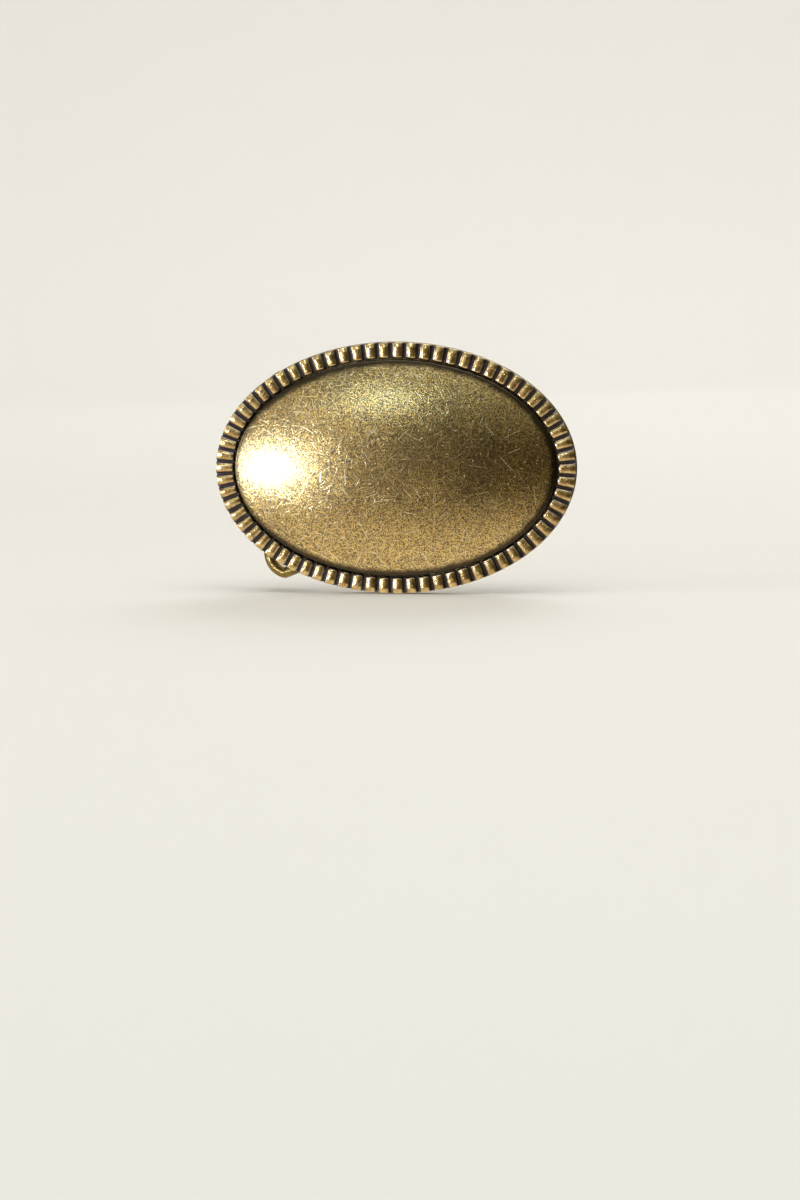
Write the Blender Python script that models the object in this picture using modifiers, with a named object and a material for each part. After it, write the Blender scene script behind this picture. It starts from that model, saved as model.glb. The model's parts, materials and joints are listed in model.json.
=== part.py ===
"""Oval plate belt buckle with a beaded border, a domed face, a swinging bail and a strap hook.

The pieces are modelled lying face up, in millimetres turned to metres by MM, on an empty that
stands them upright: the face looks along -Y, +X is to the right seen from the front, +Z is up,
and the origin is the centre of the flat back of the back plate. Run it in Blender 4.5.
"""
from math import atan2, cos, pi, radians, sin, sqrt, tau

import bmesh
import bpy
from mathutils import Vector

MM = 0.001
GAP = 0.3  # between pieces that rest on each other
OUTER, INNER = 0, 1

# Back plate
PLATE_HALF = (37.5, 26.1)
PLATE_THICK = 1.6
PLATE_ROUND = 0.45
PLATE_SIDES = 96
POCKET_DEEP = 0.5  # shallow seats that locate the hinge foot and the hook pad
POCKET_CUT = 1.0  # height of the cutters that make them

# Beaded border
BEAD_COUNT = 70
BEAD_ENDS = ((37.2, 25.8), (33.6, 22.6))  # ovals through the outer and the inner ends of the beads
BEAD_FILL = 0.87  # width of a bead as a share of the pitch
BEAD_CROWD = 0.045  # how much denser the beads are at both ends of the long axis
BEAD_CROWD_LEFT = 0.03  # and denser again at its left end
BEAD_HIGH = 1.92
BEAD_ROUND = 0.6
BEAD_SINK = 0.05  # from the foot of the band up to the underside of the beads
BEAD_SIDES = 8
BAND_THICK = 1.2
BAND_INSET = 0.15  # how far the band stays inside the ends of the beads
BAND_STEPS = 18  # in each quarter of the oval

# Domed face
DOME_HALF = (33.2, 22.2)
DOME_CROWN = 7.8  # height of the crown over the back of the plate
DOME_SHOULDER = 3.9  # height where the dome rolls over into its edge
DOME_ROUND = 1.2
DOME_POWER = 2.4
DOME_THICK = 1.1
DOME_SIDES = 48
DOME_RINGS = (0.0, 0.14, 0.28, 0.42, 0.55, 0.67, 0.78, 0.87, 0.94, 1.0)  # shares of the way out

# Hinge barrel and bail
HINGE_X = -14.0
HINGE_DEEP = 3.4  # from the back of the plate to the hinge axis
BARREL_LONG = 22.0
BARREL_RADIUS = 2.6
BORE_RADIUS = 1.5
BARREL_SIDES = 28
FOOT_SIZE = (7.6, 23.0, 1.3)
FOOT_ROUND = 0.5
WIRE_RADIUS = 1.2
BAIL_REACH = 14.0  # from the hinge axis to the middle of the strap bar
BAIL_HALF_OUT = 20.2  # half the height of the loop at the strap bar
BAIL_HALF_IN = 18.0  # and at the hinge
BAIL_SLIP = -1.9  # the loop hangs this far down its end play
BAIL_CORNER_OUT = 4.2
BAIL_CORNER_IN = 2.4
BAIL_CORNER_STEPS = 6
BAIL_REST = radians(15.0)  # swung away from the plate by the thickness of a strap

# Strap hook
HOOK_X = 24.0
PAD_RADIUS = 5.5
PAD_THICK = 1.3
PAD_ROUND = 0.35
PAD_SIDES = 32
TENON_RADIUS = 1.3
TENON_SIDES = 20
NECK_RADIUS = 1.75
FLARE_RADIUS = 2.7
HEAD_RADIUS = 2.25
HOOK_LEAN = radians(17.0)  # towards the bail, against the pull of the strap
HOOK_TALL = 8.4

BRASS = (0.46, 0.35, 0.17, 1.0)
DARK_BRASS = (0.30, 0.22, 0.11, 1.0)
WIRE_BRASS = (0.42, 0.33, 0.18, 1.0)


# ---------------------------------------------------------------- scene helpers
def clear_scene():
    for old in list(bpy.data.objects):
        bpy.data.objects.remove(old, do_unlink=True)


def add_collection(name):
    collection = bpy.data.collections.new(name)
    bpy.context.scene.collection.children.link(collection)
    return collection


def add_empty(name, collection, parent=None, place=(0, 0, 0), turn=(0, 0, 0)):
    empty = bpy.data.objects.new(name, None)
    collection.objects.link(empty)
    empty.parent = parent
    empty.location = Vector(place) * MM
    empty.rotation_euler = turn
    return empty


def add_object(name, mesh, collection, parent, place=(0, 0, 0)):
    piece = bpy.data.objects.new(name, mesh)
    collection.objects.link(piece)
    piece.parent = parent
    piece.location = Vector(place) * MM
    return piece


def hide_as_cutter(piece):
    piece.hide_render = True
    piece.display_type = "WIRE"
    return piece


def add_material(name, colour, roughness):
    material = bpy.data.materials.new(name)
    material.use_nodes = True
    shader = material.node_tree.nodes["Principled BSDF"]
    shader.inputs["Base Color"].default_value = colour
    shader.inputs["Roughness"].default_value = roughness
    shader.inputs["Metallic"].default_value = 1.0
    return material


def finish(piece, material, sharp_angle=radians(35)):
    piece.data.materials.append(material)
    piece.data.shade_smooth()
    piece.data.set_sharp_from_angle(angle=sharp_angle)
    return piece


# ---------------------------------------------------------------- shape helpers
def mesh_from(name, make):
    """A mesh filled by make(bm), whose shapes are given in millimetres."""
    bm = bmesh.new()
    make(bm)
    bmesh.ops.scale(bm, vec=(MM, MM, MM), verts=bm.verts)
    mesh = bpy.data.meshes.new(name)
    bm.to_mesh(mesh)
    bm.free()
    return mesh


def cylinder_mesh(name, radii, height, sides, low=0.0, along_y=False):
    """A round or oval cylinder with its lower end at low, or centred along Y."""

    def make(bm):
        bmesh.ops.create_cone(bm, cap_ends=True, segments=sides, radius1=1, radius2=1, depth=height)
        bmesh.ops.scale(bm, vec=(radii[0], radii[1], 1), verts=bm.verts)
        if along_y:
            turned = [(v, Vector((v.co.x, -v.co.z, v.co.y))) for v in bm.verts]
            for vertex, place in turned:
                vertex.co = place
        else:
            bmesh.ops.translate(bm, vec=(0, 0, low + height / 2), verts=bm.verts)

    return mesh_from(name, make)


def box_mesh(name, size, low=0.0):
    def make(bm):
        bmesh.ops.create_cube(bm, size=1)
        bmesh.ops.scale(bm, vec=size, verts=bm.verts)
        bmesh.ops.translate(bm, vec=(0, 0, low + size[2] / 2), verts=bm.verts)

    return mesh_from(name, make)


def add_bevel(piece, width, segments=2):
    bevel = piece.modifiers.new("rounded edges", "BEVEL")
    bevel.width = width * MM
    bevel.segments = segments
    bevel.limit_method = "ANGLE"
    bevel.angle_limit = radians(50)


def add_boolean(piece, cutter, operation):
    boolean = piece.modifiers.new(cutter.name, "BOOLEAN")
    boolean.operation = operation
    boolean.object = cutter
    boolean.solver = "EXACT"


def mesh_from_curve(curve_object):
    """The curve's evaluated mesh with its caps welded; the curve itself is removed."""
    bpy.context.view_layer.update()
    evaluated = curve_object.evaluated_get(bpy.context.evaluated_depsgraph_get())
    mesh = bpy.data.meshes.new_from_object(evaluated)
    bm = bmesh.new()
    bm.from_mesh(mesh)
    bmesh.ops.remove_doubles(bm, verts=bm.verts, dist=0.000001)
    bm.to_mesh(mesh)
    bm.free()
    curve = curve_object.data
    bpy.data.objects.remove(curve_object, do_unlink=True)
    bpy.data.curves.remove(curve)
    return mesh


def wire_mesh(name, points, radii, cyclic, bevel_resolution):
    """A round wire through the points, as thick at each as its entry in radii says."""
    curve = bpy.data.curves.new(name, "CURVE")
    curve.dimensions = "3D"
    curve.bevel_depth = MM
    curve.bevel_resolution = bevel_resolution
    curve.use_fill_caps = True
    spline = curve.splines.new("POLY")
    spline.points.add(len(points) - 1)
    for slot, point, radius in zip(spline.points, points, radii):
        slot.co = (*(Vector(point) * MM), 1)
        slot.radius = radius
    spline.use_cyclic_u = cyclic
    guide = bpy.data.objects.new(name, curve)
    bpy.context.scene.collection.objects.link(guide)
    return mesh_from_curve(guide)


def oval_band_mesh(name, ovals, thick, low):
    """A flat band between two ovals: a filled 2D curve with half its thickness extruded each way."""
    curve = bpy.data.curves.new(name, "CURVE")
    curve.dimensions = "2D"
    curve.fill_mode = "BOTH"
    curve.extrude = thick * MM / 2
    curve.resolution_u = BAND_STEPS
    handle = 4 / 3 * (sqrt(2) - 1)
    for half_x, half_y in ovals:
        spline = curve.splines.new("BEZIER")
        spline.bezier_points.add(3)
        spline.use_cyclic_u = True
        for i, point in enumerate(spline.bezier_points):
            along = Vector((cos(i * tau / 4), sin(i * tau / 4), 0))
            across = Vector((-along.y, along.x, 0)) * handle
            scale = Vector((half_x, half_y, 0)) * MM
            point.co = along * scale
            point.handle_left = (along - across) * scale
            point.handle_right = (along + across) * scale
    guide = bpy.data.objects.new(name, curve)
    bpy.context.scene.collection.objects.link(guide)
    mesh = mesh_from_curve(guide)
    for vertex in mesh.vertices:
        vertex.co.z += (low + thick / 2) * MM
    return mesh


def arc_points(centre, radius, start, end, count):
    steps = [start + (end - start) * i / (count - 1) for i in range(count)]
    return [(centre[0] + radius * cos(a), centre[1] + radius * sin(a)) for a in steps]


# ---------------------------------------------------------------- the pieces
def make_back_plate(frame, parts, cutters, material):
    mesh = cylinder_mesh("back_plate", PLATE_HALF, PLATE_THICK, PLATE_SIDES)
    plate = add_object("back_plate", mesh, parts, frame)
    add_bevel(plate, PLATE_ROUND)
    low = POCKET_DEEP - POCKET_CUT
    foot_size = (FOOT_SIZE[0] + 2 * GAP, FOOT_SIZE[1] + 2 * GAP, POCKET_CUT)
    foot_pocket = box_mesh("foot_pocket", foot_size, low)
    pad_radius = PAD_RADIUS + GAP
    pad_pocket = cylinder_mesh("pad_pocket", (pad_radius, pad_radius), POCKET_CUT, PAD_SIDES, low)
    for pocket, x in ((foot_pocket, HINGE_X), (pad_pocket, HOOK_X)):
        cutter = hide_as_cutter(add_object(pocket.name, pocket, cutters, frame, (x, 0, 0)))
        add_boolean(plate, cutter, "DIFFERENCE")
    return finish(plate, material)


def bead_places():
    """Centre, outward angle, length, width and bend of each bead, spaced along the middle of the border.

    The bend is the oval's radius of curvature there: a bead widens outwards as the oval's spokes do.
    """
    middle = [sum(oval[axis] for oval in BEAD_ENDS) / 2 for axis in (0, 1)]
    long, short = [BEAD_ENDS[OUTER][axis] - BEAD_ENDS[INNER][axis] for axis in (0, 1)]
    samples = 7200
    beads_so_far = [0.0]
    for i in range(samples):
        angle = tau * (i + 0.5) / samples
        speed = sqrt((middle[0] * sin(angle)) ** 2 + (middle[1] * cos(angle)) ** 2)
        density = 1 + BEAD_CROWD * cos(2 * angle) - BEAD_CROWD_LEFT * cos(angle)
        beads_so_far.append(beads_so_far[-1] + speed * density)
    places = []
    sample = 0
    for bead in range(BEAD_COUNT):
        while beads_so_far[sample] < beads_so_far[-1] * bead / BEAD_COUNT:
            sample += 1
        angle = tau * sample / samples
        centre = Vector((middle[0] * cos(angle), middle[1] * sin(angle)))
        outward = atan2(middle[0] * sin(angle), middle[1] * cos(angle))
        speed = sqrt((middle[0] * sin(angle)) ** 2 + (middle[1] * cos(angle)) ** 2)
        samples_per_bead = beads_so_far[-1] / BEAD_COUNT / (beads_so_far[sample + 1] - beads_so_far[sample])
        wide = BEAD_FILL * speed * samples_per_bead * tau / samples
        bend = speed ** 3 / (middle[0] * middle[1])
        places.append((centre, outward, long * cos(outward) ** 2 + short * sin(outward) ** 2, wide, bend))
    return places


def make_beaded_border(frame, parts, cutters, material):
    low = PLATE_THICK + GAP
    ovals = [(half_x + side * BAND_INSET, half_y + side * BAND_INSET)
             for (half_x, half_y), side in zip(BEAD_ENDS, (-1, 1))]
    band = oval_band_mesh("beaded_border", ovals, BAND_THICK, low)
    border = add_object("beaded_border", band, parts, frame)
    bead_height = low + BEAD_SINK + BEAD_HIGH / 2

    def make(bm):
        for centre, outward, long, wide, bend in bead_places():
            bead = bmesh.new()
            bmesh.ops.create_cone(bead, cap_ends=True, segments=BEAD_SIDES, depth=long,
                                  radius1=BEAD_HIGH / 2, radius2=BEAD_HIGH / 2)
            ends = [e for e in bead.edges if abs(e.verts[0].co.z - e.verts[1].co.z) < long / 2]
            bmesh.ops.bevel(bead, geom=ends, offset=BEAD_ROUND, segments=1, profile=0.5, affect="EDGES")
            for vertex in bead.verts:
                out, side, up = vertex.co.z, vertex.co.y, vertex.co.x
                side *= wide / BEAD_HIGH * (1 + out / bend)
                vertex.co = (centre.x + out * cos(outward) - side * sin(outward),
                             centre.y + out * sin(outward) + side * cos(outward),
                             bead_height + up)
            copy = bpy.data.meshes.new("bead")
            bead.to_mesh(copy)
            bead.free()
            bm.from_mesh(copy)
            bpy.data.meshes.remove(copy)
        bmesh.ops.recalc_face_normals(bm, faces=bm.faces)

    beads = hide_as_cutter(add_object("beads", mesh_from("beads", make), cutters, frame))
    add_boolean(border, beads, "UNION")
    return finish(border, material)


def dome_profile():
    """Outer side of the dome, from the crown out and down to its foot, at the end of the long axis."""
    rise = DOME_CROWN - DOME_SHOULDER
    slope = atan2(rise * DOME_POWER, DOME_HALF[0])
    shoulder = DOME_HALF[0] - DOME_ROUND * (1 - sin(slope))
    points = [(shoulder * r, DOME_SHOULDER + rise * (1 - r ** DOME_POWER)) for r in DOME_RINGS]
    centre = (DOME_HALF[0] - DOME_ROUND, DOME_SHOULDER - DOME_ROUND * cos(slope))
    points += arc_points(centre, DOME_ROUND, pi / 2 - slope, 0, 5)[1:]
    points.append((DOME_HALF[0], PLATE_THICK + GAP))
    return points


def make_domed_face(frame, parts, material):
    """A turned shell squeezed to an oval."""

    def make(bm):
        corners = [bm.verts.new((x, 0, z)) for x, z in dome_profile()]
        for first, second in zip(corners, corners[1:]):
            bm.edges.new((first, second))

    dome = add_object("domed_face", mesh_from("domed_face", make), parts, frame)
    turn = dome.modifiers.new("turned", "SCREW")
    turn.steps = turn.render_steps = DOME_SIDES
    turn.use_merge_vertices = True
    turn.merge_threshold = 0.00001
    bpy.context.view_layer.update()
    evaluated = dome.evaluated_get(bpy.context.evaluated_depsgraph_get())
    mesh = bpy.data.meshes.new_from_object(evaluated)
    for vertex in mesh.vertices:
        vertex.co.y *= DOME_HALF[1] / DOME_HALF[0]
    dome.modifiers.clear()
    dome.data = mesh
    shell = dome.modifiers.new("sheet", "SOLIDIFY")
    shell.thickness = DOME_THICK * MM
    shell.offset = -1
    shell.use_even_offset = False
    return finish(dome, material)


def make_hinge_barrel(frame, parts, cutters, material):
    """A tube on a flat foot that sits in its pocket."""
    place = (HINGE_X, 0, 0)
    foot_low = POCKET_DEEP - GAP - FOOT_SIZE[2]
    barrel = add_object("hinge_barrel", box_mesh("hinge_barrel", FOOT_SIZE, foot_low), parts, frame, place)
    add_bevel(barrel, FOOT_ROUND)
    axis_place = (HINGE_X, 0, -HINGE_DEEP)
    tube = cylinder_mesh("tube", (BARREL_RADIUS, BARREL_RADIUS), BARREL_LONG, BARREL_SIDES, along_y=True)
    bore = cylinder_mesh("bore", (BORE_RADIUS, BORE_RADIUS), BARREL_LONG + 4, BARREL_SIDES, along_y=True)
    for shape, operation in ((tube, "UNION"), (bore, "DIFFERENCE")):
        cutter = hide_as_cutter(add_object(shape.name, shape, cutters, frame, axis_place))
        add_boolean(barrel, cutter, operation)
    return finish(barrel, material)


def bail_outline():
    """Middle of the wire: a loop that narrows a little towards the hinge, with rounded corners."""
    lean = atan2(BAIL_HALF_OUT - BAIL_HALF_IN, BAIL_REACH)
    upper = []
    for x, half, radius, start, end in (
        (0, BAIL_HALF_IN, BAIL_CORNER_IN, 0, pi / 2 + lean),
        (-BAIL_REACH, BAIL_HALF_OUT, BAIL_CORNER_OUT, pi / 2 + lean, pi),
    ):
        inward = -1 if x == 0 else 1
        below = radius * (1 - inward * sin(lean)) / cos(lean)
        centre = (x + inward * radius, half - below)
        upper += arc_points(centre, radius, start, end, BAIL_CORNER_STEPS)
    lower = [(x, -y) for x, y in reversed(upper)]
    return [(x, y + BAIL_SLIP, 0) for x, y in upper + lower]


def make_bail_loop(axis, parts, material):
    points = bail_outline()
    mesh = wire_mesh("bail_loop", points, [WIRE_RADIUS] * len(points), True, 4)
    return finish(add_object("bail_loop", mesh, parts, axis), material)


def make_hook_base(frame, parts, cutters, material):
    low = POCKET_DEEP - GAP - PAD_THICK
    place = (HOOK_X, 0, 0)
    disc = cylinder_mesh("hook_base", (PAD_RADIUS, PAD_RADIUS), PAD_THICK, PAD_SIDES, low)
    pad = add_object("hook_base", disc, parts, frame, place)
    add_bevel(pad, PAD_ROUND)
    hole_radius = TENON_RADIUS + GAP
    hole = cylinder_mesh("tenon_hole", (hole_radius, hole_radius), PAD_THICK + 2, TENON_SIDES, low - 1)
    cutter = hide_as_cutter(add_object(hole.name, hole, cutters, frame, place))
    add_boolean(pad, cutter, "DIFFERENCE")
    return finish(pad, material)


def hook_path():
    """Points and radii down the peg: tenon, flared shoulder, leaning neck and rounded head."""
    tenon_top = POCKET_DEEP - GAP
    shoulder = tenon_top - PAD_THICK - GAP
    path = [(0, tenon_top, TENON_RADIUS), (0, shoulder + 0.02, TENON_RADIUS), (0, shoulder, FLARE_RADIUS)]
    x, z = 0.0, shoulder
    neck = [(0.35, FLARE_RADIUS - 0.15), (0.4, FLARE_RADIUS - 0.55), (0.5, NECK_RADIUS + 0.12),
            (0.7, NECK_RADIUS), (1.0, NECK_RADIUS - 0.05), (1.0, NECK_RADIUS + 0.02),
            (0.6, NECK_RADIUS + 0.2)]
    for i, (step, radius) in enumerate(neck):
        lean = HOOK_LEAN * min(1.0, (i + 1) / 5)
        x -= step * sin(lean)
        z -= step * cos(lean)
        path.append((x, z, radius))
    head = HOOK_TALL + z
    for i in range(1, 7):
        part = i / 6 * 0.985
        step = head * part
        radius = HEAD_RADIUS * sqrt(1 - part ** 4)
        path.append((x - step * sin(HOOK_LEAN), z - step * cos(HOOK_LEAN), radius))
    return path


def make_hook_post(frame, parts, material):
    path = hook_path()
    points = [(x, 0, z) for x, z, radius in path]
    mesh = wire_mesh("hook_post", points, [radius for x, z, radius in path], False, 6)
    return finish(add_object("hook_post", mesh, parts, frame, (HOOK_X, 0, 0)), material)


def main():
    clear_scene()
    parts = add_collection("belt_buckle")
    cutters = add_collection("cutters")
    brass = add_material("antique brass", BRASS, 0.34)
    dark_brass = add_material("dark antique brass", DARK_BRASS, 0.48)
    wire_brass = add_material("wire brass", WIRE_BRASS, 0.3)
    frame = add_empty("buckle_frame", parts, turn=(pi / 2, 0, 0))
    bail_axis = add_empty("bail_axis", parts, frame, (HINGE_X, 0, -HINGE_DEEP), (0, -BAIL_REST, 0))
    make_back_plate(frame, parts, cutters, dark_brass)
    make_beaded_border(frame, parts, cutters, brass)
    make_domed_face(frame, parts, brass)
    make_hinge_barrel(frame, parts, cutters, wire_brass)
    make_bail_loop(bail_axis, parts, wire_brass)
    make_hook_base(frame, parts, cutters, wire_brass)
    make_hook_post(frame, parts, wire_brass)


main()
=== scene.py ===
"""Looks of the oval plate belt buckle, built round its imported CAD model.

The buckle stands upright: the face looks along -Y, +X is to the right seen from the front, +Z is up.
Pieces are made lying face up, in millimetres, and stand() turns them into the row's frame.
"""
import json
from math import atan2, cos, pi, radians, sin, sqrt, tau

import bpy
import numpy as np
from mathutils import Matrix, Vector, noise


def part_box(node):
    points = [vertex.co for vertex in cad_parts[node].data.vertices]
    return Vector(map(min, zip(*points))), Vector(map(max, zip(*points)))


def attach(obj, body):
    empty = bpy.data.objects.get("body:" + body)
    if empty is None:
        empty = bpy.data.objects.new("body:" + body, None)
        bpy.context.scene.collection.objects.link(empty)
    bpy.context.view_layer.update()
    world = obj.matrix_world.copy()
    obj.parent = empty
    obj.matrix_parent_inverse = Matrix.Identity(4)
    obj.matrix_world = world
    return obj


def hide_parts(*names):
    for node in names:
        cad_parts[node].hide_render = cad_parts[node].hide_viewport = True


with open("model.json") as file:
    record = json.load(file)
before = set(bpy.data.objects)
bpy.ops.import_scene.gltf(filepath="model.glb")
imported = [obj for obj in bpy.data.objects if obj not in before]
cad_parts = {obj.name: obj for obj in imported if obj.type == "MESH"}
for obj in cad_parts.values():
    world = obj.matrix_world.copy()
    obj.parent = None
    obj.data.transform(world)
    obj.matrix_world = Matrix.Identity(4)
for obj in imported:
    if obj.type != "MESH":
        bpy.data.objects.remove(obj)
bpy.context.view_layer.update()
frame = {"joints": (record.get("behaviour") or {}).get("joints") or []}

MM = 0.001
SEED = 7


# ---------------------------------------------------------------- sizes read from the frame
def half_size(node):
    """Half the node's width and half its height, in millimetres."""
    low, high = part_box(node)
    return (high.x - low.x) / 2 / MM, (high.z - low.z) / 2 / MM


def depths(node):
    """How far the node's back and front stand in front of the back of the plate, in millimetres."""
    low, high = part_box(node)
    return -high.y / MM, -low.y / MM


BEADS_OUT = 0.22  # how far the beads reach past the CAD's border, which is all but to the plate's rim
DOME_OUT = 0.2  # closes most of the CAD's gap between the dome and the border
PLATE_HALF = half_size("back_plate")
PLATE_BACK, PLATE_FRONT = depths("back_plate")
BORDER_HALF = [half + BEADS_OUT for half in half_size("beaded_border")]
BORDER_BACK, BORDER_FRONT = depths("beaded_border")
DOME_HALF = [half + DOME_OUT for half in half_size("domed_face")]
DOME_BACK, DOME_CROWN = depths("domed_face")


# ---------------------------------------------------------------- mesh helpers
def stand(points):
    """Points lying face up, in millimetres, as row-frame metres."""
    x, y, z = np.asarray(points, float).reshape(-1, 3).T
    return np.stack([x, -z, y], 1) * MM


def add_piece(name, points, faces, material, sharp=radians(60)):
    """A smooth-shaded object whose edges stay sharp where its faces meet at more than that angle."""
    mesh = bpy.data.meshes.new(name)
    mesh.from_pydata(stand(points).tolist(), [], faces)
    mesh.validate()
    piece = bpy.data.objects.new(name, mesh)
    bpy.context.scene.collection.objects.link(piece)
    mesh.materials.append(material)
    mesh.shade_smooth()
    mesh.set_sharp_from_angle(angle=sharp)
    return piece


def grid_faces(rows, columns, wrap_rows=False, start=0):
    """Quads between rows of points that each close on themselves.

    wrap_rows also joins the last row to the first, and start is the index of the first point.
    """
    faces = []
    for i in range(rows if wrap_rows else rows - 1):
        for j in range(columns):
            a, b = i * columns, (i + 1) % rows * columns
            k = (j + 1) % columns
            faces.append((start + a + j, start + a + k, start + b + k, start + b + j))
    return faces


def normal_angle(half, t):
    """Direction of the oval's outward normal at parameter t."""
    return atan2(half[0] * sin(t), half[1] * cos(t))


def oval_point(half, t, inset=0.0):
    """A point of the oval at parameter t, moved inwards along the oval's normal."""
    angle = normal_angle(half, t)
    return half[0] * cos(t) - inset * cos(angle), half[1] * sin(t) - inset * sin(angle)


def oval_ring(half, columns, inset=0.0):
    """That many points round the oval, moved inwards by inset."""
    return [oval_point(half, tau * j / columns, inset) for j in range(columns)]


def fan(ring, columns, tip, flip=False):
    """Triangles from the ring of points that starts at index ring to the point with index tip."""
    sides = [(ring + j, ring + (j + 1) % columns) for j in range(columns)]
    return [(b, a, tip) if flip else (a, b, tip) for a, b in sides]


def close_ends(faces, rows, columns):
    """Caps on the first and last of the rows."""
    first = tuple(range(columns))
    last = tuple((rows - 1) * columns + j for j in range(columns))
    faces += [first[::-1], last]


def smooth(x, low, high):
    """0 up to low, 1 from high on, and a smooth step between."""
    s = min(1.0, max(0.0, (x - low) / (high - low)))
    return s * s * (3 - 2 * s)


# ---------------------------------------------------------------- shader helpers
class Nodes:
    """A few short ways to build a node tree."""

    def __init__(self, name):
        self.material = bpy.data.materials.new(name)
        self.material.use_nodes = True
        self.tree = self.material.node_tree
        self.shader = self.tree.nodes["Principled BSDF"]
        self.place = self.add("ShaderNodeTexCoord").outputs["Object"]

    def add(self, kind, **settings):
        node = self.tree.nodes.new(kind)
        for key, value in settings.items():
            setattr(node, key, value)
        return node

    def put(self, socket, value):
        if isinstance(value, bpy.types.NodeSocket):
            self.tree.links.new(value, socket)
        else:
            socket.default_value = value

    def math(self, operation, a, b=0.0):
        node = self.add("ShaderNodeMath", operation=operation)
        self.put(node.inputs[0], a)
        self.put(node.inputs[1], b)
        return node.outputs[0]

    def vector(self, operation, a, b):
        node = self.add("ShaderNodeVectorMath", operation=operation)
        self.put(node.inputs[0], a)
        self.put(node.inputs[1], b)
        return node.outputs[0]

    def split(self, vector):
        """The outputs X, Y and Z of a vector."""
        node = self.add("ShaderNodeSeparateXYZ")
        self.put(node.inputs[0], vector)
        return node.outputs

    def noise(self, scale, detail=3.0, rough=0.5):
        node = self.add("ShaderNodeTexNoise")
        self.put(node.inputs["Vector"], self.place)
        node.inputs["Scale"].default_value = scale
        node.inputs["Detail"].default_value = detail
        node.inputs["Roughness"].default_value = rough
        return node.outputs["Fac"]

    def ramp(self, value, low, high, out_low=0.0, out_high=1.0, curve="SMOOTHSTEP"):
        """out_low where value is low, out_high where it is high, and a smooth step between."""
        node = self.add("ShaderNodeMapRange", interpolation_type=curve)
        for socket, number in zip(node.inputs, (value, low, high, out_low, out_high)):
            self.put(socket, number)
        return node.outputs[0]

    def mix(self, factor, a, b):
        node = self.add("ShaderNodeMix", data_type="RGBA")
        self.put(node.inputs[0], factor)
        self.put(node.inputs[6], a)  # inputs 6 and 7 and output 2 are the node's colours
        self.put(node.inputs[7], b)
        return node.outputs[2]

    def bump(self, height, distance):
        node = self.add("ShaderNodeBump")
        node.inputs["Distance"].default_value = distance
        self.put(node.inputs["Height"], height)
        return node.outputs[0]

    def scratches(self, size, long, wide, seed, share=1.0, spread=tau):
        """Short straight scratches seen from the front, one in each cell about size wide.

        Only that share of the cells has one, each has its own strength, and their angles stay within
        half of spread from level.
        """
        shift = (seed * 0.0371, 0, seed * 0.0213)  # keeps two sets from falling on each other
        place = self.split(self.vector("MULTIPLY", self.vector("ADD", self.place, shift), (1 / size,) * 3))
        flat = self.add("ShaderNodeCombineXYZ")
        self.put(flat.inputs[0], place["X"])
        self.put(flat.inputs[1], place["Z"])
        cell = self.add("ShaderNodeTexVoronoi", voronoi_dimensions="2D")
        self.put(cell.inputs["Vector"], flat.outputs[0])
        cell.inputs["Scale"].default_value = 1.0
        away = self.split(self.vector("SUBTRACT", flat.outputs[0], cell.outputs["Position"]))
        chance = self.add("ShaderNodeSeparateColor")
        self.put(chance.inputs[0], cell.outputs["Color"])
        angle = self.math("MULTIPLY", self.math("SUBTRACT", chance.outputs[0], 0.5), spread)
        c, s = self.math("COSINE", angle), self.math("SINE", angle)
        x, y = away["X"], away["Y"]
        along = self.math("ADD", self.math("MULTIPLY", x, c), self.math("MULTIPLY", y, s))
        across = self.math("SUBTRACT", self.math("MULTIPLY", y, c), self.math("MULTIPLY", x, s))
        thin = self.ramp(self.math("ABSOLUTE", across), 0.0, wide / size, 1.0, 0.0)
        ends = self.ramp(self.math("ABSOLUTE", along), long / size * 0.3, long / size * 0.5, 1.0, 0.0)
        strength = self.ramp(chance.outputs[1], 1 - share, 1.0, 0.0, 1.0, "LINEAR")
        return self.math("MULTIPLY", self.math("MULTIPLY", thin, ends), strength)

    def most(self, values):
        """The greatest of the values."""
        top = values[0]
        for value in values[1:]:
            top = self.math("MAXIMUM", top, value)
        return top

    def lacquer(self, weight, roughness, normal, index):
        """A clear coat, as on most antiqued brass."""
        self.put(self.shader.inputs["Coat Weight"], weight)
        self.shader.inputs["Coat Roughness"].default_value = roughness
        self.shader.inputs["Coat IOR"].default_value = index
        self.put(self.shader.inputs["Coat Normal"], normal)

    def finish(self, colour, roughness, normal=None, metallic=1.0):
        self.put(self.shader.inputs["Base Color"], colour)
        self.put(self.shader.inputs["Roughness"], roughness)
        self.put(self.shader.inputs["Metallic"], metallic)
        if normal:
            self.put(self.shader.inputs["Normal"], normal)
        return self.material


# ---------------------------------------------------------------- materials
BRIGHT = (0.90, 0.76, 0.48, 1)
GOLD = (0.76, 0.53, 0.16, 1)
OLIVE = (0.10, 0.06, 0.013, 1)
UMBER = (0.06, 0.032, 0.01, 1)
OXIDE = (0.028, 0.022, 0.018, 1)
SCRATCHED = (0.95, 0.86, 0.66, 1)
BEAD_DULL = (0.45, 0.30, 0.12, 1)
BEAD_RUBBED = (0.71, 0.53, 0.26, 1)
BEAD_PIT = (0.14, 0.08, 0.035, 1)
CREVICE = (0.045, 0.033, 0.048, 1)


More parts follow.
